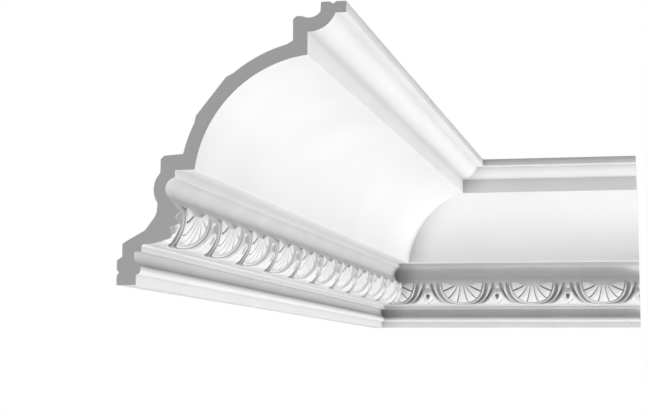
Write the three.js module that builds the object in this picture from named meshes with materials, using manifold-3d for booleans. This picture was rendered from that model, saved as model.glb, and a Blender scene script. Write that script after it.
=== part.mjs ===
// Inner corner of a carved cornice: a long length and a short return, mitred together.
// Millimetres, +Z up. The long length follows +Y along the side wall and the return follows +X
// along the end wall. A point of the section is (out, up): out from the wall, and up from the
// lower edge. The origin is on the long length's wall face, half way along, where it is fixed.

import * as THREE from 'three';
import { mergeVertices } from 'three/addons/utils/BufferGeometryUtils.js';
import Module from 'manifold-3d';

// Overall sizes
const drop = 277.5;
const projection = 232;
const repeat = 125;
const longLength = 1360;
const returnLength = 485;
const mitreGap = 0.3;

// Wall moulding, under the carved band: flat foot, upright, bead, scotia and a small step
const footDepth = 20.1;
const footRise = 10.4;
const beadSet = 1.5;
const beadRise = 10.3;
const beadBow = 3.4;
const scotiaRise = 12.5;
const scotiaBack = 3;
const scotiaBow = 1.9;
const stepOut = 6.9;
const stepRise = 4.4;
const stepRound = 3.1;
const stepRoundBow = -0.9;

// Carved band: an ovolo about its own centre. The ground between the carvings is at
// groundRadius, and the carvings are let into a bed that lies deeper.
const bandOut = 31;
const bandUp = 72;
const groundRadius = 29;
const bedDepth = 3;
const rootDepth = 4;
const bandFoot = -92;
const bedTop = 1;
const groundTop = 14.5;

// Hollow above the band, and the fillet and soffit that lead to the cove
const hollowOut = 61;
const hollowUp = 95;
const hollowRadius = 11.8;
const hollowFoot = 223;
const hollowHead = 111;
const collarDepth = 59;
const collarRise = 7.2;
const coveNose = 20.2;

// Cove, and the ceiling moulding above it: frieze, ovolo and lip
const coveBow = 27.5;
const friezeRise = 22.9;
const crownSet = 2.6;
const crownOut = 28;
const crownFall = 18;
const crownBow = 4.6;
const lipDepth = 10.8;
const lipRise = 11.4;

// Back of the casting
const coveWall = 14.8;
const crownWall = 14.2;
const hollowWall = 12.2;
const hollowBackEnds = [136, 215];
const ceilingFaceDepth = 25.4;
const crownBackEnds = [-38, -120];
const friezeCorner = 3;
const coveBackLead = 8;
const coveBackFoot = 166.7;
const backFlat = [131.5, 150.8];
const backFlatProud = 2;
const backFlatLead = 3;
const ledgeUp = 128.7;
const ledgeOut = 43.8;
const ledgeRound = 3.6;
const bandBackBend = { out: 40.7, up: 72.7 };
const bandBackEase = { out: 39.1, up: 68.2 };
const bandBackKnee = { out: 28.8, up: 54.4 };
const wallFaceRise = 24.7;
const heelDepth = 5.4;
const heelRise = 14.4;
const heelRound = 1.8;
const heelSlope = 3.4;

// Glue grooves in the two bearing faces
const grooveWidth = 6.2;
const grooveDepth = 2.4;
const wallGrooveUp = 12.6;
const ceilingGrooveIn = 13.3;

// The long length is held by the flat of its wall face below the glue groove
const fixingUp = (wallGrooveUp - grooveWidth / 2) / 2;

// Carving. One repeat is a shell hung between two darts. A place on it is (aside, turn): the
// distance along the band from the shell's axis, and the angle about the band's centre. Nested
// U lines run round the shell as half ellipses below fanTurn, and straight up above it.
const fanTurn = 10;
const rimLine = { aside: 39.2, fall: 77 };
const channelLine = { aside: 43.9, fall: 83 };
const ribbonLine = { aside: 49.5, fall: 85.5 };
const valleyLine = { aside: 56, fall: 89 };
const rimInside = 0.95;
const cellFoot = -95.5;
const cornerFan = 45;
const tipFan = -6;
const tipRise = 8;
const axisFan = 90;

// The shell's lobes, each between two fan angles, with the rise of its scalloped top edge
const lobes = [
  { from: -12, to: 20, rise: 9 },
  { from: 20, to: 45, rise: 2 },
  { from: 45, to: 73, rise: 2 },
  { from: 73, to: 2 * axisFan - 73, rise: 2.5 },
];
const hinge = { aside: 13, turn: 0.3, shoulder: 1 };
const fanSteps = [tipFan, 3.5, 10, 15, 20, 24, 29, 36, cornerFan, 59, 73, axisFan];

// Heights of the carving above the ground: at the foot of the band, over its face and at its
// tips, and the share of that height which each feature reaches. The height grows from that of the
// foot to that of the face between two turns.
const footHeight = 2.4;
const faceHeight = 4.7;
const tipHeight = 3;
const faceTurns = [-82, -55];
const level = {
  lobe: 1,
  flute: 0.5,
  lobeEdge: 0.8,
  rimInside: 0.6,
  rim: 0.95,
  channel: 0.15,
  ribbon: 1,
  valley: 0.05,
  shoulder: 0.75,
  dart: 0.9,
  neck: 0.35,
  eye: -0.6,
  foot: 1,
};
const eye = { turn: -30.4, reach: 8, half: 4.2 };
const neck = { turn: -13, reach: 12 };
const footRing = 0.7;

const wasm = await Module();
wasm.setup();

const white = new THREE.MeshStandardMaterial({ color: 0xf4f4f2, roughness: 0.7, metalness: 0 });

function point(out, up) {
  return new THREE.Vector2(out, up);
}

function polar(centre, radius, degrees) {
  const angle = THREE.MathUtils.degToRad(degrees);
  return point(centre.x + radius * Math.cos(angle), centre.y + radius * Math.sin(angle));
}

function arc(centre, radius, from, to, steps) {
  const [start, end] = [from, to].map(THREE.MathUtils.degToRad);
  return new THREE.EllipseCurve(centre.x, centre.y, radius, radius, start, end, to < from).getPoints(steps);
}

// The circle through a and b whose arc stands off their chord by bow, to the right of the way
function circleThrough(a, b, bow) {
  const half = a.distanceTo(b) / 2;
  const radius = (half * half + bow * bow) / (2 * Math.abs(bow));
  const way = b.clone().sub(a).normalize();
  const right = point(way.y, -way.x);
  const centre = a.clone().add(b).multiplyScalar(0.5);
  centre.addScaledVector(right, bow - Math.sign(bow) * radius);
  return { centre, radius };
}

function angleOf(centre, p) {
  return THREE.MathUtils.radToDeg(Math.atan2(p.y - centre.y, p.x - centre.x));
}

function bowed(a, b, bow, steps) {
  const { centre, radius } = circleThrough(a, b, bow);
  const from = angleOf(centre, a);
  const turn = THREE.MathUtils.euclideanModulo(angleOf(centre, b) - from, 360);
  return arc(centre, radius, from, bow > 0 ? from + turn : from + turn - 360, steps);
}

const bandCentre = point(bandOut, bandUp);
const hollowCentre = point(hollowOut, hollowUp);
const collarHead = point(collarDepth, hollowUp + hollowRadius + collarRise);
const coveFoot = point(collarHead.x + coveNose, collarHead.y);
const crownHead = point(projection - lipDepth, drop - lipRise);
const friezeHead = point(crownHead.x - crownOut, crownHead.y - crownFall);
const crownFoot = point(friezeHead.x + crownSet, friezeHead.y);
const coveHead = point(friezeHead.x, friezeHead.y - friezeRise);
const cove = circleThrough(coveFoot, coveHead, -coveBow);
const crown = circleThrough(crownFoot, crownHead, crownBow);

function wallMoulding() {
  const beadFoot = point(footDepth + beadSet, footRise);
  const beadHead = point(beadFoot.x, beadFoot.y + beadRise);
  const scotiaHead = point(beadHead.x - scotiaBack, beadHead.y + scotiaRise);
  const step = point(scotiaHead.x + stepOut, scotiaHead.y);
  const stepHead = point(step.x, step.y + stepRise);
  const bandEdge = point(stepHead.x + stepRound, stepHead.y + stepRound);
  return [
    point(0, 0),
    point(footDepth, 0),
    point(footDepth, footRise),
    ...bowed(beadFoot, beadHead, beadBow, 7),
    ...bowed(beadHead, scotiaHead, -scotiaBow, 5).slice(1),
    step,
    ...bowed(stepHead, bandEdge, stepRoundBow, 3),
  ];
}

function bandAndHollow() {
  return [
    ...arc(bandCentre, groundRadius - bedDepth, bandFoot, bedTop, 7),
    ...arc(bandCentre, groundRadius, bedTop, groundTop, 2),
    ...arc(hollowCentre, hollowRadius, hollowFoot, hollowHead, 9),
    point(collarDepth, hollowUp + hollowRadius),
    collarHead,
  ];
}

function coveAndCrown() {
  return [
    ...bowed(coveFoot, coveHead, -coveBow, 14),
    friezeHead,
    ...bowed(crownFoot, crownHead, crownBow, 6),
    point(projection, crownHead.y),
    point(projection, drop),
  ];
}

// A V groove in a flat bearing face
function glueGroove(centre, along, inward) {
  const half = along.clone().multiplyScalar(grooveWidth / 2);
  const root = centre.clone().addScaledVector(inward, grooveDepth);
  return [centre.clone().sub(half), root, centre.clone().add(half)];
}

function upperBack() {
  const inside = friezeHead.x - coveWall;
  const behindCove = cove.radius + coveWall;
  const [flatHead, flatFoot] = backFlat;
  const crownBack = arc(crown.centre, crown.radius - crownWall, ...crownBackEnds, 5);
  const corner = crownBack[crownBack.length - 1].y;
  const head = angleOf(cove.centre, coveHead) + coveBackLead;
  return [
    ...glueGroove(point(projection - ceilingGrooveIn, drop), point(-1, 0), point(0, -1)),
    point(projection - ceilingFaceDepth, drop),
    ...crownBack,
    point(inside + friezeCorner, corner),
    point(inside, corner - friezeCorner),
    point(inside, coveHead.y + coveWall),
    ...arc(cove.centre, behindCove, head, flatHead - backFlatLead, 4),
    polar(cove.centre, behindCove + backFlatProud, flatHead),
    polar(cove.centre, behindCove + backFlatProud, flatFoot),
    ...arc(cove.centre, behindCove, flatFoot + backFlatLead, coveBackFoot, 3),
  ];
}

function lowerBack() {
  const heelHead = wallFaceRise + heelSlope + heelRise - heelRound;
  return [
    point(ledgeOut + ledgeRound, ledgeUp),
    point(ledgeOut, ledgeUp - ledgeRound),
    ...arc(hollowCentre, hollowRadius + hollowWall, ...hollowBackEnds, 6),
    ...[bandBackBend, bandBackEase, bandBackKnee].map(({ out, up }) => point(out, up)),
    point(heelDepth + heelRound, heelHead + heelRound),
    point(heelDepth, heelHead),
    point(heelDepth, wallFaceRise + heelSlope),
    point(0, wallFaceRise),
    ...glueGroove(point(0, wallGrooveUp), point(0, -1), point(1, 0)),
  ];
}

function section() {
  const outline = [wallMoulding, bandAndHollow, coveAndCrown, upperBack, lowerBack];
  return new THREE.Shape(outline.flatMap((stretch) => stretch()));
}

// A flat outline, pushed along +Y from start to end with its y as height
function extrudeAlong(shape, start, end) {
  const geometry = new THREE.ExtrudeGeometry(shape, { depth: end - start, bevelEnabled: false });
  geometry.rotateX(Math.PI / 2);
  return geometry.translate(0, end, 0);
}

function smooth(from, to, value) {
  return THREE.MathUtils.smoothstep(value, from, to);
}

// A point of a U line at a fan angle: axisFan is the shell's axis, 0 the line's straight top
function onLine(line, fan) {
  const angle = THREE.MathUtils.degToRad(fan);
  if (fan > 0) {
    return { aside: line.aside * Math.cos(angle), turn: fanTurn - line.fall * Math.sin(angle) };
  }
  return { aside: line.aside, turn: fanTurn + tipRise * (fan / tipFan) };
}

// The shell's scalloped top edge
function onTopEdge(fan) {
  const lobe = lobes.find(({ from, to }) => fan >= from && fan <= to);
  const share = (fan - lobe.from) / (lobe.to - lobe.from);
  const [outer, next] = lobes;
  const lift = hinge.shoulder * THREE.MathUtils.clamp((next.to - fan) / (next.to - next.from), 0, 1);
  const inner = hinge.aside * Math.min(1, (axisFan - fan) / (axisFan - outer.to));
  const wide = (rimLine.aside * rimInside - hinge.aside) * Math.max(0, outer.to - fan) / (outer.to - tipFan);
  return {
    aside: inner + wide,
    turn: hinge.turn + lift + lobe.rise * Math.sin(Math.PI * share),
  };
}

// The edge of one repeat: down the dart's axis, then along the foot of the band
function onCellEdge(fan) {
  if (fan <= cornerFan) {
    const fall = fan > 0 ? (fanTurn - cellFoot) * fan / cornerFan : tipRise * fan / -tipFan;
    return { aside: repeat / 2, turn: fanTurn - fall };
  }
  return { aside: repeat / 2 * (axisFan - fan) / (axisFan - cornerFan), turn: cellFoot };
}

function between(a, b, share) {
  return {
    aside: THREE.MathUtils.lerp(a.aside, b.aside, share),
    turn: THREE.MathUtils.lerp(a.turn, b.turn, share),
  };
}

function dartAxisLevel(turn) {
  const inEye = Math.max(0, 1 - Math.abs(turn - eye.turn) / eye.reach);
  const inNeck = Math.max(0, 1 - Math.abs(turn - neck.turn) / neck.reach);
  return level.dart + (level.eye - level.dart) * inEye + (level.neck - level.dart) * inNeck;
}

// The places across the carving at one fan angle, from the shell's top edge to the dart
function stationsAt(fan) {
  const flute = lobes.some(({ from, to }) => fan === from || fan === to);
  const crest = flute ? level.flute : level.lobe;
  const top = onTopEdge(fan);
  const rimSide = onLine({ aside: rimLine.aside * rimInside, fall: rimLine.fall * rimInside }, fan);
  const valley = onLine(valleyLine, fan);
  const edge = onCellEdge(fan);
  const edgeLevel = fan < cornerFan ? dartAxisLevel(edge.turn) : level.foot;
  const ringShare = fan > cornerFan ? footRing : 1 - eye.half / (edge.aside - valley.aside);
  return [
    { ...top, level: crest * level.lobeEdge },
    { ...between(top, rimSide, 0.5), level: crest },
    { ...rimSide, level: level.rimInside },
    { ...onLine(rimLine, fan), level: level.rim },
    { ...onLine(channelLine, fan), level: level.channel },
    { ...onLine(ribbonLine, fan), level: level.ribbon },
    { ...valley, level: level.valley },
    { ...between(valley, edge, ringShare / 2), level: level.shoulder },
    { ...between(valley, edge, ringShare), level: level.dart },
    { ...edge, level: edgeLevel },
  ];
}

// Place in space of a carved point: its side of the shell's axis is +1 or -1
function carved({ aside, turn, level: share }, axis, side) {
  const rising = footHeight + (faceHeight - footHeight) * smooth(...faceTurns, turn);
  const height = rising + (tipHeight - rising) * smooth(0, fanTurn + tipRise, turn);
  const at = polar(bandCentre, groundRadius + height * share, turn);
  return new THREE.Vector3(at.x, axis + side * aside, at.y);
}

// Triangles between two lines of points that run the same way, row by row
function stitch(triangles, a, b, flipped) {
  let i = 0;
  let j = 0;
  while (i < a.length - 1 || j < b.length - 1) {
    const onA = j === b.length - 1
      || (i < a.length - 1 && Math.abs(a[i + 1].y - b[j].y) <= Math.abs(b[j + 1].y - a[i].y));
    const triangle = onA ? [a[i], a[i + 1], b[j]] : [a[i], b[j + 1], b[j]];
    triangles.push(...(flipped ? triangle.reverse() : triangle));
    i += onA ? 1 : 0;
    j += onA ? 0 : 1;
  }
}

// Half a repeat of the carving, as a closed slab's front, top, foot and back
function halfRepeat(triangles, axis, side) {
  const grid = fanSteps.map((fan) => stationsAt(fan).map((place) => carved(place, axis, side)));
  for (let i = 0; i < grid.length - 1; i += 1) {
    for (let j = 0; j < grid[i].length - 1; j += 1) {
      const [a, b, c, d] = [grid[i][j], grid[i + 1][j], grid[i + 1][j + 1], grid[i][j + 1]];
      triangles.push(...(side > 0 ? [a, b, c, a, c, d] : [c, b, a, d, c, a]));
    }
  }
  const rootAt = (turn) => polar(bandCentre, groundRadius - rootDepth, turn);
  const onRoot = (root) => (p) => new THREE.Vector3(root.x, p.y, root.y);
  const top = [...grid[0].slice().reverse(), ...grid.slice(1).map((row) => row[0])];
  const foot = grid.slice(fanSteps.indexOf(cornerFan)).map((row) => row[row.length - 1]);
  const topRoot = top.map(onRoot(rootAt(fanTurn - 2)));
  const footRoot = foot.map(onRoot(rootAt(bandFoot)));
  stitch(triangles, top, topRoot, side > 0);
  stitch(triangles, topRoot, footRoot, side > 0);
  stitch(triangles, footRoot, foot, side > 0);
  const middle = grid[grid.length - 1];
  return [...middle, footRoot[footRoot.length - 1], topRoot[topRoot.length - 1]];
}

function closeEnd(triangles, ring, flipped) {
  const flat = ring.map((p) => point(p.x, p.z));
  for (const [a, b, c] of THREE.ShapeUtils.triangulateShape(flat, [])) {
    triangles.push(...(flipped ? [ring[c], ring[b], ring[a]] : [ring[a], ring[b], ring[c]]));
  }
}

// The carving from one shell's axis to another, with its first axis at start
function carving(start, shells) {
  const triangles = [];
  for (let shell = 0; shell <= shells; shell += 1) {
    const axis = start + shell * repeat;
    if (shell > 0) {
      const ring = halfRepeat(triangles, axis, -1);
      if (shell === shells) {
        closeEnd(triangles, ring, true);
      }
    }
    if (shell < shells) {
      const ring = halfRepeat(triangles, axis, 1);
      if (shell === 0) {
        closeEnd(triangles, ring, false);
      }
    }
  }
  return new THREE.BufferGeometry().setFromPoints(triangles);
}

function solidOf(geometry) {
  const bare = geometry.clone();
  bare.deleteAttribute('normal');
  bare.deleteAttribute('uv');
  const merged = mergeVertices(bare, 1e-3);
  const triVerts = Uint32Array.from(merged.index.array);
  const vertProperties = Float32Array.from(merged.attributes.position.array);
  return new wasm.Manifold(new wasm.Mesh({ numProp: 3, vertProperties, triVerts }));
}

function geometryOf(solid) {
  const { vertProperties, triVerts } = solid.getMesh();
  const geometry = new THREE.BufferGeometry();
  geometry.setAttribute('position', new THREE.BufferAttribute(vertProperties, 3));
  geometry.setIndex(new THREE.BufferAttribute(triVerts, 1));
  const loose = geometry.toNonIndexed();
  loose.computeVertexNormals();
  return loose;
}

// The ground that a length covers, seen from above: out from the wall, and along it
function planOf(length, mitreAtEnd) {
  const half = mitreGap / Math.SQRT2;
  const reach = projection + repeat;
  const mitre = mitreAtEnd ? (out) => length - out - half : (out) => out + half;
  const square = mitreAtEnd ? 0 : length;
  return new THREE.Shape([
    point(-repeat, square),
    point(reach, square),
    point(reach, mitre(reach)),
    point(-repeat, mitre(-repeat)),
  ]);
}

// One length, along +Y, with a dart's axis on its square end
function cutLength(length, mitreAtEnd) {
  const shells = Math.ceil(length / repeat) + 2;
  const firstShell = mitreAtEnd ? -repeat / 2 : length + repeat / 2 - shells * repeat;
  const stock = solidOf(extrudeAlong(section(), -repeat, length + repeat));
  const relief = solidOf(carving(firstShell, shells));
  const block = new THREE.ExtrudeGeometry(planOf(length, mitreAtEnd), { depth: 2 * drop, bevelEnabled: false });
  block.translate(0, 0, -drop / 2);
  return geometryOf(stock.add(relief).intersect(solidOf(block)));
}

function buildCornice() {
  const longMesh = new THREE.Mesh(cutLength(longLength, true), white);
  longMesh.name = 'main_length';
  const returnMesh = new THREE.Mesh(cutLength(returnLength, false), white);
  returnMesh.name = 'return_length';
  returnMesh.rotation.z = -Math.PI / 2;
  returnMesh.position.y = longLength;
  const cornice = new THREE.Group();
  cornice.name = 'cornice_corner';
  cornice.add(longMesh, returnMesh);
  cornice.position.set(0, -longLength / 2, -fixingUp);
  return cornice;
}

export default buildCornice();
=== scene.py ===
"""Inner corner of a carved cornice, primed white: a long length and a short return, mitred together.

A point of the section is (out, up) in millimetres: out from the wall, and up from the lower edge.
A length is made along +Y from a square end or a corner, and then put where its node is.
"""

import math

import bmesh
import bpy
from mathutils import Matrix, Vector
from mathutils.geometry import delaunay_2d_cdt


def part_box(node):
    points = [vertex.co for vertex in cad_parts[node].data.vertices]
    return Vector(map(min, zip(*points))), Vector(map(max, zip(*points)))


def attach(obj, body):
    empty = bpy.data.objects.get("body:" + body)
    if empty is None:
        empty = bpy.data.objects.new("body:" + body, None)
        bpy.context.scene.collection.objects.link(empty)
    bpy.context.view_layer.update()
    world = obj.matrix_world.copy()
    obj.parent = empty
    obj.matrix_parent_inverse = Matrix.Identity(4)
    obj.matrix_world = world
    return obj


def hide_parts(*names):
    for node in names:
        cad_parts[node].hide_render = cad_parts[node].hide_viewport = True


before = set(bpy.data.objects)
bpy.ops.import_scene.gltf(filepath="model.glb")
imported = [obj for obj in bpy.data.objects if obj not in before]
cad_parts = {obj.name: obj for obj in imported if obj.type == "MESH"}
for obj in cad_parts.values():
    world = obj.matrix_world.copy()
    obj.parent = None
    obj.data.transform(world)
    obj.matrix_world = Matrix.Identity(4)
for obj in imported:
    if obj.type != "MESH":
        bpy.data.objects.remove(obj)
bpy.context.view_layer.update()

MM = 0.001

# Overall sizes, from the frame
MAIN_LOW, MAIN_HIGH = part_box("main_length")
RETURN_LOW, RETURN_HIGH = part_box("return_length")
DROP = (MAIN_HIGH.z - MAIN_LOW.z) / MM
PROJECTION = (MAIN_HIGH.x - MAIN_LOW.x) / MM
CORNER_WALL = RETURN_HIGH.y
MAIN_LENGTH = (CORNER_WALL - MAIN_LOW.y) / MM
RETURN_LENGTH = RETURN_HIGH.x / MM
REPEAT = 125
MITRE_GAP = 0.3
ARRIS = 0.5
ARRIS_TURN = 25
ARRIS_ROOM = 0.4

# Wall moulding, under the carved band: flat foot, upright, bead, scotia and a small step
FOOT_DEPTH = 20.1
FOOT_RISE = 10.4
BEAD_SET = 1.5
BEAD_RISE = 10.3
BEAD_BOW = 3.4
SCOTIA_RISE = 12.5
SCOTIA_BACK = 3
SCOTIA_BOW = 1.9
STEP_OUT = 6.9
STEP_RISE = 4.4
STEP_ROUND = 3.1
STEP_ROUND_BOW = -0.9

# Carved band: an ovolo about its own centre. Heights on it are measured from GROUND_RADIUS. At its
# head the band is pared off straight, from SLOPE_RISE at the centre's level to the hollow's foot.
BAND_CENTRE = Vector((31, 72))
GROUND_RADIUS = 29
SLOPE_RISE = 4.9

# Hollow above the band, and the fillet and soffit that lead to the cove
HOLLOW_CENTRE = Vector((61, 95))
HOLLOW_RADIUS = 11.8
HOLLOW_FOOT = 223
HOLLOW_HEAD = 111
COLLAR_DEPTH = 59
COLLAR_RISE = 7.2
COVE_NOSE = 20.2

# Cove, and the ceiling moulding above it: frieze, ovolo and lip
COVE_BOW = 27.5
FRIEZE_RISE = 22.9
CROWN_SET = 2.6
CROWN_OUT = 28
CROWN_FALL = 18
CROWN_BOW = 4.6
LIP_DEPTH = 10.8
LIP_RISE = 11.4

# Back of the casting
COVE_WALL = 14.8
CROWN_WALL = 14.2
HOLLOW_WALL = 12.2
HOLLOW_BACK_ENDS = (136, 215)
CEILING_FACE_DEPTH = 25.4
CROWN_BACK_ENDS = (-38, -120)
FRIEZE_CORNER = 3
COVE_BACK_LEAD = 8
COVE_BACK_FOOT = 166.7
BACK_FLAT = (131.5, 150.8)
BACK_FLAT_PROUD = 2
BACK_FLAT_LEAD = 3
LEDGE_UP = 128.7
LEDGE_OUT = 43.8
LEDGE_ROUND = 3.6
BAND_BACK = (Vector((40.7, 72.7)), Vector((39.1, 68.2)), Vector((28.8, 54.4)))
WALL_FACE_RISE = 24.7
HEEL_DEPTH = 5.4
HEEL_RISE = 14.4
HEEL_ROUND = 1.8
HEEL_SLOPE = 3.4

# Glue grooves in the two bearing faces
GROOVE_WIDTH = 6.2
GROOVE_DEPTH = 2.4
WALL_GROOVE_UP = 12.6
CEILING_GROOVE_IN = 13.3

# Carving. One repeat is a shell hung between two half darts. A place on it is (aside, turn): the
# distance along the band from the shell's axis, and the angle about the band's centre. Nested
# U lines run round the shell as half ellipses below FAN_TURN, and straight up above it. A fan
# angle of AXIS_FAN is the shell's axis, 0 the foot of the straight tops and TIP_FAN their ends.
FAN_TURN = 10
AXIS_FAN = 90
TIP_FAN = -6
TIP_RISE = 8
RIM_LINE = (39.2, 77, 0)
CHANNEL_LINE = (43.9, 83, 0)
RIBBON_LINE = (49.5, 85.5, 0)
VALLEY_LINE = (56, 89, 0.042)
RIM_INSIDE = 0.95
RIM_FLARE = 1.2
CORNER_FAN = 45

# The shell's flutes by fan angle, their half width, and the scallops of its top edge. A run is a
# share of the way from the top edge to the rim, at which a line or a lobe's slope begins or ends.
FLUTES = (20, 45, 73, 107)
FLUTE_HALF = 1.9
FLUTE_DEPTH = 3
FLUTE_BOW = 1.6
FLUTE_HEAD = (0.03, 0.12)
FLUTE_END = (1, 0.96)
LOBE_SWELL = 0.17
LOBE_EDGE_RUN = 0.1
LOBE_DROOP_RUN = 0.7
LOBE_RIM_RUN = 0.83
HINGE_ASIDE = 13
HINGE_TURN = 0.3
HINGE_SHOULDER = 1
SCALLOPS = (5.4, 2, 1.5, 1.5)
SCALLOP_LEAN = 0.7
SCALLOP_FULLNESS = 0.8

# Heights above the ground in millimetres, the turns between which the foot's height grows to the
# face's, and the share of the height that each feature reaches
FOOT_HEIGHT = 2.4
FACE_HEIGHT = 4.7
TIP_HEIGHT = 4.2
TIP_PROUD = 0.5
TIP_START = 2
FACE_TURNS = (-82, -55)
FOOT_RUN = 5
LOBE, LOBE_EDGE, RIM_SIDE, RIM = 1, 0.95, 0.4, 1
CHANNEL, RIBBON, VALLEY, DART, NECK = -0.45, 1.13, -0.65, 1, 0.06


def polar(centre, radius, degrees):
    angle = math.radians(degrees)
    return centre + radius * Vector((math.cos(angle), math.sin(angle)))


def arc(centre, radius, start, end, steps):
    return [polar(centre, radius, start + (end - start) * i / steps) for i in range(steps + 1)]


def angle_of(centre, point):
    way = point - centre
    return math.degrees(math.atan2(way.y, way.x))


def circle_through(a, b, bow):
    """Centre and radius of the circle through a and b whose arc stands off their chord by bow."""
    half = (b - a).length / 2
    radius = (half * half + bow * bow) / (2 * abs(bow))
    way = (b - a).normalized()
    right = Vector((way.y, -way.x))
    return (a + b) / 2 + right * (bow - math.copysign(radius, bow)), radius


def bowed(a, b, bow, steps):
    centre, radius = circle_through(a, b, bow)
    start = angle_of(centre, a)
    turn = (angle_of(centre, b) - start) % 360
    return arc(centre, radius, start, start + (turn if bow > 0 else turn - 360), steps)


HOLLOW_START = polar(HOLLOW_CENTRE, HOLLOW_RADIUS, HOLLOW_FOOT)
COLLAR_HEAD = Vector((COLLAR_DEPTH, HOLLOW_CENTRE.y + HOLLOW_RADIUS + COLLAR_RISE))
COVE_FOOT = COLLAR_HEAD + Vector((COVE_NOSE, 0))
CROWN_HEAD = Vector((PROJECTION - LIP_DEPTH, DROP - LIP_RISE))
FRIEZE_HEAD = CROWN_HEAD - Vector((CROWN_OUT, CROWN_FALL))
CROWN_FOOT = FRIEZE_HEAD + Vector((CROWN_SET, 0))
COVE_HEAD = FRIEZE_HEAD - Vector((0, FRIEZE_RISE))
COVE_CENTRE, COVE_RADIUS = circle_through(COVE_FOOT, COVE_HEAD, -COVE_BOW)
CROWN_CENTRE, CROWN_RADIUS = circle_through(CROWN_FOOT, CROWN_HEAD, CROWN_BOW)
STEP_FOOT = Vector((FOOT_DEPTH + BEAD_SET - SCOTIA_BACK + STEP_OUT, FOOT_RISE + BEAD_RISE + SCOTIA_RISE))
BAND_EDGE = STEP_FOOT + Vector((STEP_ROUND, STEP_RISE + STEP_ROUND))
BAND_FOOT_TURN = angle_of(BAND_CENTRE, BAND_EDGE)
BAND_FOOT_HEIGHT = (BAND_EDGE - BAND_CENTRE).length - GROUND_RADIUS


def hollow_and_collar():
    return [
        *arc(HOLLOW_CENTRE, HOLLOW_RADIUS, HOLLOW_FOOT, HOLLOW_HEAD, 22),
        Vector((COLLAR_DEPTH, HOLLOW_CENTRE.y + HOLLOW_RADIUS)),
        COLLAR_HEAD,
    ]


def cove_and_crown():
    return [
        *bowed(COVE_FOOT, COVE_HEAD, -COVE_BOW, 44),
        FRIEZE_HEAD,
        *bowed(CROWN_FOOT, CROWN_HEAD, CROWN_BOW, 18),
        Vector((PROJECTION, CROWN_HEAD.y)),
        Vector((PROJECTION, DROP)),
    ]


def glue_groove(centre, along, inward):
    half = along * GROOVE_WIDTH / 2
    return [centre - half, centre + inward * GROOVE_DEPTH, centre + half]


def upper_back():
    inside = FRIEZE_HEAD.x - COVE_WALL
    behind = COVE_RADIUS + COVE_WALL
    flat_head, flat_foot = BACK_FLAT
    crown_back = arc(CROWN_CENTRE, CROWN_RADIUS - CROWN_WALL, *CROWN_BACK_ENDS, 10)
    corner = crown_back[-1].y
    head = angle_of(COVE_CENTRE, COVE_HEAD) + COVE_BACK_LEAD
    return [
        *glue_groove(Vector((PROJECTION - CEILING_GROOVE_IN, DROP)), Vector((-1, 0)), Vector((0, -1))),
        Vector((PROJECTION - CEILING_FACE_DEPTH, DROP)),
        *crown_back,
        Vector((inside + FRIEZE_CORNER, corner)),
        Vector((inside, corner - FRIEZE_CORNER)),
        Vector((inside, COVE_HEAD.y + COVE_WALL)),
        *arc(COVE_CENTRE, behind, head, flat_head - BACK_FLAT_LEAD, 10),
        polar(COVE_CENTRE, behind + BACK_FLAT_PROUD, flat_head),
        polar(COVE_CENTRE, behind + BACK_FLAT_PROUD, flat_foot),
        *arc(COVE_CENTRE, behind, flat_foot + BACK_FLAT_LEAD, COVE_BACK_FOOT, 8),
    ]


def lower_back():
    heel_head = WALL_FACE_RISE + HEEL_SLOPE + HEEL_RISE - HEEL_ROUND
    return [
        Vector((LEDGE_OUT + LEDGE_ROUND, LEDGE_UP)),
        Vector((LEDGE_OUT, LEDGE_UP - LEDGE_ROUND)),
        *arc(HOLLOW_CENTRE, HOLLOW_RADIUS + HOLLOW_WALL, *HOLLOW_BACK_ENDS, 12),
        *BAND_BACK,
        Vector((HEEL_DEPTH + HEEL_ROUND, heel_head + HEEL_ROUND)),
        Vector((HEEL_DEPTH, heel_head)),
        Vector((HEEL_DEPTH, WALL_FACE_RISE + HEEL_SLOPE)),
        Vector((0, WALL_FACE_RISE)),
        *glue_groove(Vector((0, WALL_GROOVE_UP)), Vector((0, -1)), Vector((1, 0))),
    ]


def wall_moulding():
    bead_foot = Vector((FOOT_DEPTH + BEAD_SET, FOOT_RISE))
    bead_head = bead_foot + Vector((0, BEAD_RISE))
    scotia_head = bead_head + Vector((-SCOTIA_BACK, SCOTIA_RISE))
    step_head = STEP_FOOT + Vector((0, STEP_RISE))
    return [
        Vector((0, 0)),
        Vector((FOOT_DEPTH, 0)),
        Vector((FOOT_DEPTH, FOOT_RISE)),
        *bowed(bead_foot, bead_head, BEAD_BOW, 16),
        *bowed(bead_head, scotia_head, -SCOTIA_BOW, 12)[1:],
        STEP_FOOT,
        *bowed(step_head, BAND_EDGE, STEP_ROUND_BOW, 8),
    ]


def softened(points):
    """The outline with its sharp corners eased to the radius of the paint on an arris."""
    eased = [points[0]]
    for before, corner, after in zip(points, points[1:], points[2:]):
        into, out_of = corner - before, after - corner
        turn = abs(into.angle_signed(out_of))
        if turn < math.radians(ARRIS_TURN):
            eased.append(corner)
            continue
        cut = min(ARRIS * math.tan(turn / 2), into.length * ARRIS_ROOM, out_of.length * ARRIS_ROOM)
        start = corner - into.normalized() * cut
        end = corner + out_of.normalized() * cut
        middle = (start + end) / 2
        eased += [start, middle.lerp(corner, math.tan(turn / 4) / math.tan(turn / 2)), end]
    return [*eased, points[-1]]


def plain_outline():
    """The section from the hollow's foot, over the back and down to the foot of the carved band."""
    stretches = (hollow_and_collar, cove_and_crown, upper_back, lower_back, wall_moulding)
    return softened([point for stretch in stretches for point in stretch()])


def smooth(start, end, value):
    share = min(1, max(0, (value - start) / (end - start)))
    return share * share * (3 - 2 * share)


def mix(a, b, share):
    return a + (b - a) * share


# Below this turn the paring runs clear of the carving.
SLOPE_CLEAR = -20


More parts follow.
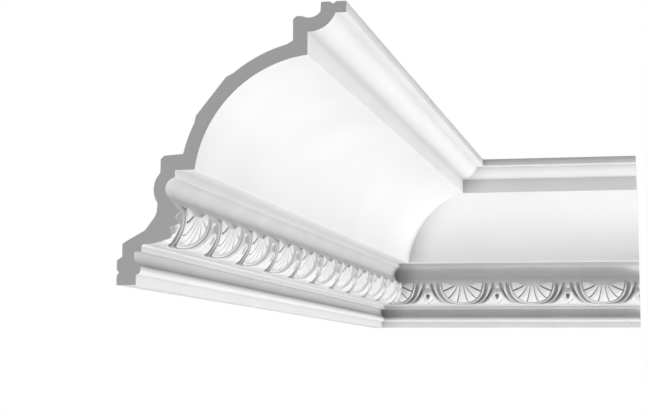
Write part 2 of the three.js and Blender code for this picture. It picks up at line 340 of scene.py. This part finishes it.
def slope_height(turn):
    """Height of the straight paring between the band's face and the hollow's foot."""
    turn = max(turn, SLOPE_CLEAR)
    start = Vector((GROUND_RADIUS + SLOPE_RISE, 0))
    way = HOLLOW_START - BAND_CENTRE - start
    across = Vector((way.y, -way.x))
    ray = polar(Vector((0, 0)), 1, turn)
    return start.dot(across) / ray.dot(across) - GROUND_RADIUS


def on_line(line, fan):
    """A place on a U line (aside, fall, pinch), as (aside, turn)."""
    aside, fall, pinch = line
    if fan <= 0:
        return Vector((aside, FAN_TURN + TIP_RISE * fan / TIP_FAN))
    angle = math.radians(fan)
    drawn_in = 1 - pinch * math.sin(2 * angle)
    return Vector((aside * math.cos(angle) * drawn_in, FAN_TURN - fall * math.sin(angle)))


def rim_side(fan):
    aside, fall, pinch = RIM_LINE
    place = on_line((aside * RIM_INSIDE, fall * RIM_INSIDE, pinch), fan)
    return place + Vector((RIM_FLARE * max(0, fan / TIP_FAN), 0))


def lobe_at(fan):
    """Number of the lobe at a fan angle, and the share of the way across it."""
    starts = (0, *FLUTES)
    number = max(i for i in range(len(FLUTES)) if fan >= starts[i])
    return number, (fan - starts[number]) / (starts[number + 1] - starts[number])


def top_edge(fan):
    """The shell's scalloped top edge."""
    if fan <= 0:
        return rim_side(fan)
    number, share = lobe_at(fan)
    lean = 1 if number else SCALLOP_LEAN
    lift = SCALLOPS[number] * math.sin(math.pi * share ** lean) ** SCALLOP_FULLNESS
    if number == 0:
        hinge = Vector((HINGE_ASIDE, HINGE_TURN + HINGE_SHOULDER))
        return rim_side(0).lerp(hinge, share) + Vector((0, lift))
    shoulder = HINGE_SHOULDER * (1 - share) if number == 1 else 0
    aside = HINGE_ASIDE * (AXIS_FAN - fan) / (AXIS_FAN - FLUTES[0])
    return Vector((aside, HINGE_TURN + shoulder + lift))


def cell_edge(fan):
    """The edge of one repeat: down the dart's axis, then along the foot of the band."""
    if fan <= 0:
        return on_line((REPEAT / 2, 0, 0), fan)
    if fan <= CORNER_FAN:
        return Vector((REPEAT / 2, mix(FAN_TURN, BAND_FOOT_TURN, fan / CORNER_FAN)))
    return Vector((REPEAT / 2 * (AXIS_FAN - fan) / (AXIS_FAN - CORNER_FAN), BAND_FOOT_TURN))


def lobe_level(fan, share):
    """Level of the shell's lobes, from their top edge at share 0 to the rim at 1."""
    level = mix(LOBE_EDGE, LOBE, smooth(0, LOBE_EDGE_RUN, share))
    level = mix(level, RIM_SIDE, smooth(LOBE_RIM_RUN, 1, share))
    number, across = lobe_at(max(0, fan))
    outward = 1 - 2 * across
    droop = outward * outward if number or outward < 0 else 0
    return level - LOBE_SWELL * droop * smooth(1, LOBE_DROOP_RUN, share)


def flute_cut(fan, share):
    """Depth of the incised line between two lobes."""
    nearest = min(abs(fan - flute) for flute in FLUTES)
    run = smooth(*FLUTE_HEAD, share) * smooth(*FLUTE_END, share)
    return FLUTE_DEPTH * max(0, 1 - nearest / FLUTE_HALF) * run


# The dart: a round tongue at its head, a ringed eye, and lines cut below the eye. A place on the
# dart is (off, turn), with off from the dart's axis.
TONGUE_HALF = 5.6
TONGUE_TURN = 0.6
TONGUE_ROUND = 8
TONGUE_FALL = 0.52
TONGUE_SIDES = 8
DART_HEAD = (-7.8, -19.5)
DART_ROUND = 4.2
EYE_TURN = -28
EYE_HALF = 3.9
EYE_HEAD = 7
EYE_TAIL = 12.5
EYE_PIT = -32.6
EYE_WALLS = (11.8, 7.9)
EYE_LEVEL = -0.35
EYE_RING = 0.35
EYE_RING_FROM = 0.8
EYE_RING_WIDE = 1.2
EYE_EDGE = 0.68
EYE_TEAR = 1.35
CUT_LINES = (
    ((9, -44), (4, -51), (0, -57.5)),
    ((0, -57.5), (0, -70)),
    ((14, -52), (16, -63)),
)
CUT_HALF = 0.9
CUT_DEPTH = 1.3
ARC_MM = math.radians(GROUND_RADIUS + FACE_HEIGHT)


def distance_to(place, line):
    """Distance in millimetres along the band's face from a place to a line of places."""
    point = Vector((place[0], place[1] * ARC_MM))
    nearest = REPEAT
    for start, end in zip(line, line[1:]):
        a = Vector((start[0], start[1] * ARC_MM))
        b = Vector((end[0], end[1] * ARC_MM))
        share = min(1, max(0, (point - a).dot(b - a) / (b - a).length_squared))
        nearest = min(nearest, (point - a.lerp(b, share)).length)
    return nearest


def eye_gauge(off, turn):
    """0 in the middle of the eye's tear, and 1 on its edge."""
    rise = turn - EYE_TURN
    if rise > 0:
        return math.hypot(off / EYE_HALF, rise / EYE_HEAD)
    return ((off / EYE_HALF) ** EYE_TEAR + (-rise / EYE_TAIL) ** EYE_TEAR) ** (1 / EYE_TEAR)


def dart_level(off, turn, from_valley):
    """Level of the dart's face; from_valley is the distance from the valley beside it."""
    crest = mix(DART, NECK, smooth(DART_HEAD[1], DART_HEAD[0], turn))
    level = mix(VALLEY, crest, math.sin(math.pi / 2 * min(1, from_valley / DART_ROUND)))
    gauge = eye_gauge(off, turn)
    ring = EYE_RING * math.sin(math.pi * min(1, max(0, (gauge - EYE_RING_FROM) / EYE_RING_WIDE)))
    wall = EYE_WALLS[0] if turn > EYE_PIT else EYE_WALLS[1]
    pit = mix(EYE_LEVEL, DART, min(1, abs(turn - EYE_PIT) / wall))
    return mix(pit, level + ring, smooth(EYE_EDGE, 1, gauge))


def tongue_height(off, turn):
    """Height of the tongue over the dart: it carries the slope on down, and ends in a round nose."""
    across = off / TONGUE_HALF
    if across >= 1:
        return -GROUND_RADIUS
    nose = TONGUE_TURN + TONGUE_ROUND * (1 - math.sqrt(1 - across * across))
    crown = slope_height(max(turn, nose)) - TONGUE_FALL * max(0, nose - turn)
    return crown - SLOPE_RISE * across ** TONGUE_SIDES


def dart_cut(off, turn):
    nearest = min(distance_to((off, turn), line) for line in CUT_LINES)
    return CUT_DEPTH * max(0, 1 - nearest / CUT_HALF)


def height_at(turn, level):
    """Height above the ground of a level of the carving."""
    rising = mix(FOOT_HEIGHT, FACE_HEIGHT, smooth(*FACE_TURNS, turn))
    falling = mix(rising, TIP_HEIGHT, smooth(0, FAN_TURN + TIP_RISE, turn))
    height = falling * level
    tip = min(1, max(0, (turn - FAN_TURN - TIP_START) / (TIP_RISE - TIP_START)))
    height = mix(slope_height(turn), height, math.sqrt(1 - tip * tip))
    return mix(height, BAND_FOOT_HEIGHT, smooth(BAND_FOOT_TURN + FOOT_RUN, BAND_FOOT_TURN, turn))


def pared(place, height):
    """The height kept to the straight slope at the band's head, or just proud of it."""
    return min(height, slope_height(place.y) + TIP_PROUD)


def on_face(place, height):
    """The point (out, aside, up) of a place on the band, at a height above its ground."""
    at = polar(BAND_CENTRE, GROUND_RADIUS + height, place.y)
    return Vector((at.x, place.x, at.y))


# Spans across the rim and the ribbon: levels at both ends, and (share of the way, share of the change)
# of the points between. The crests are narrow, the channel flat and the valley creased.
SPANS = (
    (RIM_SIDE, RIM, ((0, 0), (0.35, 0.6), (0.7, 0.92))),
    (RIM, CHANNEL, ((0, 0), (0.22, 0.07), (0.42, 0.45), (0.6, 0.86), (0.8, 0.98))),
    (CHANNEL, RIBBON, ((0, 0), (0.25, 0.03), (0.42, 0.22), (0.6, 0.75), (0.78, 0.95))),
    (RIBBON, VALLEY, ((0, 0), (0.15, 0.04), (0.3, 0.26), (0.46, 0.58), (0.64, 0.78), (0.82, 0.92))),
)
LOBE_STEPS = 15
DART_STEPS = 18


def across_ribbons(fan):
    """Points from the shell's rim, over the rim and the ribbon, to the valley beside the dart."""
    lines = (RIM_LINE, CHANNEL_LINE, RIBBON_LINE, VALLEY_LINE)
    places = [rim_side(fan), *(on_line(line, fan) for line in lines)]
    points = []
    for (start, end, stops), a, b in zip(SPANS, places, places[1:]):
        for share, change in stops:
            place = a.lerp(b, share)
            points.append(on_face(place, pared(place, height_at(place.y, mix(start, end, change)))))
    return points


def across_carving(fan):
    """Points at one fan angle, from the shell's top edge to the dart's axis or the band's foot."""
    top, rim = top_edge(fan), rim_side(fan)
    points = []
    for i in range(LOBE_STEPS):
        share = i / LOBE_STEPS
        bow = FLUTE_BOW * math.sin(math.pi * share) * math.sin(math.radians(2 * max(0, fan)))
        place = top.lerp(rim, share) - Vector((bow, 0))
        level = lobe_level(fan, share) if fan > 0 else RIM_SIDE
        points.append(on_face(place, height_at(place.y, level) - flute_cut(fan, share)))
    points += across_ribbons(fan)
    valley, edge = on_line(VALLEY_LINE, fan), cell_edge(fan)
    for i in range(DART_STEPS + 1):
        place = valley.lerp(edge, i / DART_STEPS)
        off = REPEAT / 2 - place.x
        from_valley = Vector((place.x - valley.x, (place.y - valley.y) * ARC_MM)).length
        height = height_at(place.y, dart_level(off, place.y, from_valley))
        height = max(height, tongue_height(off, place.y))
        cut = dart_cut(off, place.y) if fan > 0 else 0
        points.append(on_face(place, pared(place, height) - cut))
    return points


def fan_angles():
    """The fan angles of the carving's mesh, close together at the flutes."""
    stops = [TIP_FAN, 0]
    for flute in FLUTES[:3]:
        stops += [flute - FLUTE_HALF, flute, flute + FLUTE_HALF]
    stops.append(AXIS_FAN)
    steps = (5, 13, 1, 1, 25, 1, 1, 12, 1, 1, 7)
    angles = [TIP_FAN]
    for start, end, count in zip(stops, stops[1:], steps):
        angles += [mix(start, end, (i + 1) / count) for i in range(count)]
    return angles


def place_of(point):
    """The place (aside, turn) of a point on the band."""
    return Vector((point.y, angle_of(BAND_CENTRE, Vector((point.x, point.z)))))


# The row half way up the slope, and how the carving's thickness spreads towards its foot
SLOPE_MIDDLE = 14.5
SLOPE_STEP = 0.6
EDGE_SPREAD = 0.35
EDGE_ROOM = 0.4


def ground_above(edge):
    """Rows of points from the carving's top edge, down its thickness and up the slope."""
    places = [place_of(point) for point in edge]
    foot, middle = [], []
    for before, place, after in zip([places[0], *places], places, [*places[1:], places[-1]]):
        along = Vector((after.x - before.x, (after.y - before.y) * ARC_MM))
        outwards = Vector((along.y, -along.x)).normalized() * EDGE_SPREAD
        room = EDGE_ROOM * min(before.x - place.x, place.x - after.x)
        x = place.x + min(room, max(-room, outwards.x))
        low = Vector((x, place.y + abs(outwards.y) / ARC_MM))
        foot.append(on_face(low, slope_height(low.y)))
        high = Vector((x, max(SLOPE_MIDDLE, low.y + SLOPE_STEP)))
        middle.append(on_face(high, slope_height(high.y)))
    head = [Vector((HOLLOW_START.x, point.y, HOLLOW_START.y)) for point in middle]
    return [foot, middle, head]


def half_carving():
    """Rows of points of half a repeat: the fan's rows, and the rows above its top edge."""
    fan = [across_carving(angle) for angle in fan_angles()]
    edge = [*reversed(fan[0]), *(row[0] for row in fan[1:])]
    foot = [row[-1] for angle, row in zip(fan_angles(), fan) if angle >= CORNER_FAN]
    return fan, [edge, *ground_above(edge)], foot


class Faces:
    """Collects faces given by their points, and makes one mesh with the points shared."""

    def __init__(self):
        self.numbers = {}
        self.points = []
        self.faces = []

    def number(self, point):
        key = tuple(round(value, 4) for value in point)
        if key not in self.numbers:
            self.numbers[key] = len(self.points)
            self.points.append(Vector(key) * MM)
        return self.numbers[key]

    def add(self, corners, flipped=False):
        ring = []
        for corner in corners:
            number = self.number(corner)
            if number not in ring:
                ring.append(number)
        if len(ring) > 2:
            self.faces.append(ring[::-1] if flipped else ring)

    def add_rows(self, rows, flipped=False):
        for low, high in zip(rows, rows[1:]):
            for i in range(len(low) - 1):
                self.add((low[i], high[i], high[i + 1], low[i + 1]), flipped)

    def mesh(self, name):
        mesh = bpy.data.meshes.new(name)
        mesh.from_pydata(self.points, [], self.faces)
        return mesh


def one_repeat():
    """A slice of cornice one repeat long, from dart to dart, open at both ends."""
    fan, above, foot = half_carving()
    faces = Faces()
    lines = {}
    rows = (*fan, *above, foot)
    for side in (-1, 1):
        moved = [[Vector((p.x, REPEAT / 2 + side * p.y, p.z)) for p in row] for row in rows]
        faces.add_rows(moved[: len(fan)], flipped=side < 0)
        faces.add_rows(moved[len(fan) : -1], flipped=side < 0)
        lines[side] = (moved[-2], moved[-1])
    head = [*lines[-1][0], *reversed(lines[1][0][:-1])]
    base = [*lines[-1][1], *reversed(lines[1][1][:-1])]
    outline = plain_outline()
    near = [Vector((point.x, 0, point.y)) for point in outline]
    far = [Vector((point.x, REPEAT, point.y)) for point in outline]
    faces.add([*head, far[1], near[1]])
    for i in range(1, len(outline) - 2):
        faces.add((near[i], far[i], far[i + 1], near[i + 1]), flipped=True)
    faces.add([*base, far[-2], near[-2]], flipped=True)
    return faces.mesh("one_repeat")


def run_tree():
    """Geometry nodes that set repeats end to end and join them."""
    tree = bpy.data.node_groups.new("run_of_repeats", "GeometryNodeTree")
    sockets = {}
    for name, kind in (
        ("Geometry", "NodeSocketGeometry"),
        ("Repeats", "NodeSocketInt"),
        ("Pitch", "NodeSocketVector"),
        ("Weld", "NodeSocketFloat"),
        ("Finish", "NodeSocketMaterial"),
    ):
        sockets[name] = tree.interface.new_socket(name, in_out="INPUT", socket_type=kind).identifier
    tree.interface.new_socket("Geometry", in_out="OUTPUT", socket_type="NodeSocketGeometry")
    nodes, links = tree.nodes, tree.links
    inputs = nodes.new("NodeGroupInput")
    line = nodes.new("GeometryNodeMeshLine")
    on_points = nodes.new("GeometryNodeInstanceOnPoints")
    realize = nodes.new("GeometryNodeRealizeInstances")
    weld = nodes.new("GeometryNodeMergeByDistance")
    finish = nodes.new("GeometryNodeSetMaterial")
    output = nodes.new("NodeGroupOutput")
    links.new(inputs.outputs["Repeats"], line.inputs["Count"])
    links.new(inputs.outputs["Pitch"], line.inputs["Offset"])
    links.new(line.outputs["Mesh"], on_points.inputs["Points"])
    links.new(inputs.outputs["Geometry"], on_points.inputs["Instance"])
    links.new(on_points.outputs["Instances"], realize.inputs["Geometry"])
    links.new(realize.outputs["Geometry"], weld.inputs["Geometry"])
    links.new(inputs.outputs["Weld"], weld.inputs["Distance"])
    links.new(weld.outputs["Geometry"], finish.inputs["Geometry"])
    links.new(inputs.outputs["Finish"], finish.inputs["Material"])
    links.new(finish.outputs["Geometry"], output.inputs["Geometry"])
    return tree, sockets


WELD = 0.01


def run_of(slice_mesh, repeats, finish, name):
    """Repeats set end to end along +Y, as one plain mesh."""
    tree, sockets = run_tree()
    stock = bpy.data.objects.new(name, slice_mesh)
    bpy.context.scene.collection.objects.link(stock)
    modifier = stock.modifiers.new("run", "NODES")
    modifier.node_group = tree
    modifier[sockets["Repeats"]] = repeats
    modifier[sockets["Pitch"]] = (0, REPEAT * MM, 0)
    modifier[sockets["Weld"]] = WELD * MM
    modifier[sockets["Finish"]] = finish
    evaluated = stock.evaluated_get(bpy.context.evaluated_depsgraph_get())
    mesh = bpy.data.meshes.new_from_object(evaluated)
    stock.modifiers.clear()
    bpy.data.objects.remove(stock)
    return mesh


# The rim of paint round a sawn end, the sharpest mitre of its inner outline, and the share of its
# width that the inner outline keeps off the outer one, in places too narrow for more
RIM_OF_PAINT = 0.8
RIM_MITRE = 0.4
RIM_CLEAR = 0.98


def ring_of(edges):
    """The corners of one closed loop of edges, in order."""
    beside = {}
    for edge in edges:
        a, b = edge.verts
        beside.setdefault(a, []).append(b)
        beside.setdefault(b, []).append(a)
    before, here = None, edges[0].verts[0]
    ring = []
    while here not in ring[:1]:
        ring.append(here)
        before, here = here, next(v for v in beside[here] if v is not before)
    return ring


def outline_distance(point, outline):
    """Distance from a point to the nearest side of a closed outline."""
    nearest = PROJECTION
    for a, b in zip(outline, [*outline[1:], outline[0]]):
        side = b - a
        share = min(1, max(0, (point - a).dot(side) / side.length_squared))
        nearest = min(nearest, (point - a - side * share).length)
    return nearest


def inner_outline(outline, depth):
    """The outline drawn in by a depth, without the places too narrow for it."""
    area = sum(a.cross(b) for a, b in zip(outline, [*outline[1:], outline[0]]))
    inward = math.copysign(1, area)
    drawn = []
    for before, point, after in zip([outline[-1], *outline], outline, [*outline[1:], outline[0]]):
        sides = [(point - before).normalized(), (after - point).normalized()]
        normals = [Vector((-side.y, side.x)) * inward for side in sides]
        middle = (normals[0] + normals[1]).normalized()
        moved = point + middle * depth / max(RIM_MITRE, middle.dot(normals[0]))
        if outline_distance(moved, outline) > RIM_CLEAR * depth:
            drawn.append(moved)
    return drawn


# Metres: a corner this near a cutting plane is taken as on it, by the cut and by the closing.
ON_PLANE = 1e-6
NEAR_PLANE = 2e-4


def close_end(bm, centre, normal, rim):
    """Closes the open end that lies in a plane: bare foam inside a rim of paint of that width."""
    edges = [
        edge for edge in bm.edges
        if edge.is_boundary and all(abs((v.co - centre).dot(normal)) < NEAR_PLANE for v in edge.verts)
    ]
    ring = ring_of(edges)
    across = Vector((normal.y, -normal.x, 0))
    outline = [Vector((v.co.dot(across), v.co.z)) for v in ring]
    inner = inner_outline(outline, rim) if rim else []
    count = len(outline)
    loops = [(i, (i + 1) % count) for i in range(count)]
    loops += [(count + i, count + (i + 1) % len(inner)) for i in range(len(inner))]
    flat, _, triangles, origins, _, _ = delaunay_2d_cdt([*outline, *inner], loops, [], 1, 1e-7)
    corners = []
    for point, origin in zip(flat, origins):
        on_ring = [number for number in origin if number < count]
        if on_ring:
            corners.append(ring[on_ring[0]])
        else:
            place = across * point.x + normal * centre.dot(normal) + Vector((0, 0, point.y))
            corners.append(bm.verts.new(place))
    for triangle in triangles:
        face = bm.faces.new([corners[i] for i in triangle])
        middle = sum((flat[i] for i in triangle), Vector((0, 0))) / 3
        bare = not rim or outline_distance(middle, outline) > rim
        face.material_index = 1 if bare else 0


SHARP_ANGLE = 38


def cornice_length(name, slice_mesh, length, mitre_at_start, paint, foam):
    """One length from wall to square end, mitred where it meets the other."""
    repeats = math.ceil((length + PROJECTION) / REPEAT)
    mesh = run_of(slice_mesh, repeats, paint, name)
    if mitre_at_start:
        mesh.transform(Matrix.Translation((0, (length - repeats * REPEAT) * MM, 0)))
        square = Vector((0, length * MM, 0))
        mitre_normal = Vector((1, -1, 0)).normalized()
        mitre_centre = -mitre_normal * MITRE_GAP / 2 * MM
        square_normal = Vector((0, 1, 0))
    else:
        square = Vector((0, 0, 0))
        mitre_normal = Vector((1, 1, 0)).normalized()
        mitre_centre = Vector((0, length * MM, 0)) - mitre_normal * MITRE_GAP / 2 * MM
        square_normal = Vector((0, -1, 0))
    bm = bmesh.new()
    bm.from_mesh(mesh)
    everything = [*bm.verts, *bm.edges, *bm.faces]
    bmesh.ops.bisect_plane(
        bm, geom=everything, dist=ON_PLANE, plane_co=mitre_centre, plane_no=mitre_normal, clear_outer=True
    )
    close_end(bm, mitre_centre, mitre_normal, rim=0)
    close_end(bm, square, square_normal, rim=RIM_OF_PAINT * MM)
    bmesh.ops.recalc_face_normals(bm, faces=bm.faces)
    bm.to_mesh(mesh)
    bm.free()
    mesh.shade_smooth()
    mesh.set_sharp_from_angle(angle=math.radians(SHARP_ANGLE))
    mesh.materials.clear()
    mesh.materials.append(paint)
    mesh.materials.append(foam)
    piece = bpy.data.objects.new(name, mesh)
    bpy.context.scene.collection.objects.link(piece)
    return piece


def new_material(name):
    material = bpy.data.materials.new(name)
    material.use_nodes = True
    return material, material.node_tree.nodes, material.node_tree.links


def object_noise(nodes, links, scale, detail, roughness=0.5):
    coordinates = nodes.new("ShaderNodeTexCoord")
    noise = nodes.new("ShaderNodeTexNoise")
    noise.inputs["Scale"].default_value = scale
    noise.inputs["Detail"].default_value = detail
    noise.inputs["Roughness"].default_value = roughness
    links.new(coordinates.outputs["Object"], noise.inputs["Vector"])
    return noise.outputs["Fac"]


def colour_between(nodes, links, fac, low, high):
    ramp = nodes.new("ShaderNodeValToRGB")
    ramp.color_ramp.elements[0].position = 0.3
    ramp.color_ramp.elements[1].position = 0.7
    ramp.color_ramp.elements[0].color = (*low, 1)
    ramp.color_ramp.elements[1].color = (*high, 1)
    links.new(fac, ramp.inputs["Fac"])
    return ramp.outputs["Color"]


def value_between(nodes, links, fac, low, high):
    spread = nodes.new("ShaderNodeMapRange")
    spread.inputs["From Min"].default_value = 0.3
    spread.inputs["From Max"].default_value = 0.7
    spread.inputs["To Min"].default_value = low
    spread.inputs["To Max"].default_value = high
    links.new(fac, spread.inputs["Value"])
    return spread.outputs["Result"]


def bump(nodes, links, height, distance, strength):
    node = nodes.new("ShaderNodeBump")
    node.inputs["Distance"].default_value = distance
    node.inputs["Strength"].default_value = strength
    links.new(height, node.inputs["Height"])
    return node.outputs["Normal"]


def painted_shade_in_recesses(nodes, links, colour, reach, share):
    """Painted shade: a colour that keeps only a share of itself where the surface is hemmed in within a
    reach, standing in for the shade that falls there.
    """
    openness = nodes.new("ShaderNodeAmbientOcclusion")
    openness.samples = 8
    openness.inputs["Distance"].default_value = reach
    kept = nodes.new("ShaderNodeMapRange")
    kept.inputs["To Min"].default_value = share
    painted_shade = nodes.new("ShaderNodeVectorMath")
    painted_shade.operation = "SCALE"
    links.new(openness.outputs["AO"], kept.inputs["Value"])
    links.new(colour, painted_shade.inputs["Vector"])
    links.new(kept.outputs["Result"], painted_shade.inputs["Scale"])
    return painted_shade.outputs["Vector"]


def primer_paint():
    """Matte white primer: hardly mottled, with a fine orange peel, and with painted shade darkening its
    colour in the recesses.
    """
    material, nodes, links = new_material("primer_paint")
    shader = nodes["Principled BSDF"]
    clouds = object_noise(nodes, links, 9, 3)
    peel = object_noise(nodes, links, 900, 3)
    colour = colour_between(nodes, links, clouds, (0.76, 0.765, 0.765), (0.79, 0.79, 0.79))
    # Painted shade: ambient occlusion darkens the primer's colour in creases, recesses and the inner
    # corner, where shade falls.
    colour = painted_shade_in_recesses(nodes, links, colour, reach=0.04, share=0.26)
    links.new(colour, shader.inputs["Base Color"])
    links.new(value_between(nodes, links, clouds, 0.5, 0.62), shader.inputs["Roughness"])
    links.new(bump(nodes, links, peel, 0.00006, 0.25), shader.inputs["Normal"])
    shader.inputs["Specular IOR Level"].default_value = 0.35
    return material


FOAM_LOW = (0.535, 0.54, 0.55)
FOAM_HIGH = (0.565, 0.57, 0.58)


def sawn_foam():
    """Bare dense foam on a sawn end: mid grey, with fine closed cells."""
    material, nodes, links = new_material("sawn_foam")
    shader = nodes["Principled BSDF"]
    cells = object_noise(nodes, links, 1400, 2, 0.7)
    clouds = object_noise(nodes, links, 30, 2)
    links.new(colour_between(nodes, links, clouds, FOAM_LOW, FOAM_HIGH), shader.inputs["Base Color"])
    links.new(value_between(nodes, links, cells, 0.8, 0.95), shader.inputs["Roughness"])
    links.new(bump(nodes, links, cells, 0.0002, 0.3), shader.inputs["Normal"])
    shader.inputs["Specular IOR Level"].default_value = 0.2
    return material


def cornice():
    paint, foam = primer_paint(), sawn_foam()
    slice_mesh = one_repeat()
    main = cornice_length("main_length_cornice", slice_mesh, MAIN_LENGTH, False, paint, foam)
    main.data.transform(Matrix.Translation((0, MAIN_LOW.y, MAIN_LOW.z)))
    corner = cornice_length("return_length_cornice", slice_mesh, RETURN_LENGTH, True, paint, foam)
    turned = Matrix.Rotation(math.radians(-90), 4, "Z")
    corner.data.transform(Matrix.Translation((0, CORNER_WALL, RETURN_LOW.z)) @ turned)
    for piece, node in ((main, "main_length"), (corner, "return_length")):
        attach(piece, "root")
        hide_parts(node)


# Camera: where the picture was taken from, in metres and degrees
CAMERA_PLACE = (0.5357, -2.1181, -0.0920)
CAMERA_YAW = 12.7265
CAMERA_PITCH = 6.22
CAMERA_ROLL = 0.3787
CAMERA_LENS = 85.076


def camera():
    data = bpy.data.cameras.new("camera")
    data.lens = CAMERA_LENS
    data.sensor_width = 36
    data.clip_start, data.clip_end = 0.05, 100
    eye = bpy.data.objects.new("camera", data)
    turned = (
        Matrix.Rotation(math.radians(CAMERA_YAW), 4, "Z")
        @ Matrix.Rotation(math.radians(90 + CAMERA_PITCH), 4, "X")
        @ Matrix.Rotation(math.radians(CAMERA_ROLL), 4, "Z")
    )
    eye.matrix_world = Matrix.Translation(CAMERA_PLACE) @ turned
    bpy.context.scene.collection.objects.link(eye)
    bpy.context.scene.camera = eye


FLOOR_UP = -3.2
FLOOR_HALF = 30
TARGET = Vector((0.15, 0.6, 0.1))


def floor():
    mesh = bpy.data.meshes.new("floor")
    signs = ((-1, -1), (1, -1), (1, 1), (-1, 1))
    corners = [(x * FLOOR_HALF, y * FLOOR_HALF, FLOOR_UP) for x, y in signs]
    mesh.from_pydata(corners, [], [(0, 1, 2, 3)])
    material, nodes, _ = new_material("floor")
    nodes["Principled BSDF"].inputs["Base Color"].default_value = (0.8, 0.8, 0.8, 1)
    nodes["Principled BSDF"].inputs["Roughness"].default_value = 0.9
    mesh.materials.append(material)
    ground = bpy.data.objects.new("floor", mesh)
    ground.visible_shadow = False
    bpy.context.scene.collection.objects.link(ground)


def soft_light(name, place, size, watts):
    data = bpy.data.lights.new(name, "AREA")
    data.shape = "DISK"
    data.size = size
    data.energy = watts
    light = bpy.data.objects.new(name, data)
    light.location = place
    light.rotation_mode = "QUATERNION"
    light.rotation_quaternion = (TARGET - Vector(place)).to_track_quat("-Z", "Y")
    light.visible_camera = False
    bpy.context.scene.collection.objects.link(light)


def light_by_height(nodes, links):
    """Strength of the surrounding light: more from below than from the ceiling's side."""
    coordinates = nodes.new("ShaderNodeTexCoord")
    parts = nodes.new("ShaderNodeSeparateXYZ")
    spread = nodes.new("ShaderNodeMapRange")
    spread.inputs["From Min"].default_value = -0.1
    spread.inputs["From Max"].default_value = 0.5
    spread.inputs["To Min"].default_value = 0.28
    spread.inputs["To Max"].default_value = 0.21
    links.new(coordinates.outputs["Generated"], parts.inputs["Vector"])
    links.new(parts.outputs["Z"], spread.inputs["Value"])
    return spread.outputs["Result"]


def studio():
    world = bpy.data.worlds.new("studio")
    bpy.context.scene.world = world
    world.use_nodes = True
    nodes, links = world.node_tree.nodes, world.node_tree.links
    nodes.clear()
    lit = nodes.new("ShaderNodeBackground")
    seen = nodes.new("ShaderNodeBackground")
    path = nodes.new("ShaderNodeLightPath")
    choose = nodes.new("ShaderNodeMixShader")
    output = nodes.new("ShaderNodeOutputWorld")
    seen.inputs["Strength"].default_value = 1
    for background in (lit, seen):
        background.inputs["Color"].default_value = (1, 1, 1, 1)
    links.new(light_by_height(nodes, links), lit.inputs["Strength"])
    links.new(path.outputs["Is Camera Ray"], choose.inputs[0])
    links.new(lit.outputs["Background"], choose.inputs[1])
    links.new(seen.outputs["Background"], choose.inputs[2])
    links.new(choose.outputs["Shader"], output.inputs["Surface"])
    soft_light("key", (3.8, -0.2, -2.6), 2.4, 146)
    soft_light("from_below", (0.5, 0.2, -2.0), 1.4, 14)
    soft_light("from_left", (-1.6, -2.0, -0.9), 2.0, 14)
    soft_light("near_end", (1.5, -1.2, -0.5), 1.4, 6)
    soft_light("from_behind", (-2.4, 2.8, 2.4), 2.4, 110)
    bpy.context.scene.view_settings.view_transform = "Standard"


cornice()
floor()
camera()
studio()
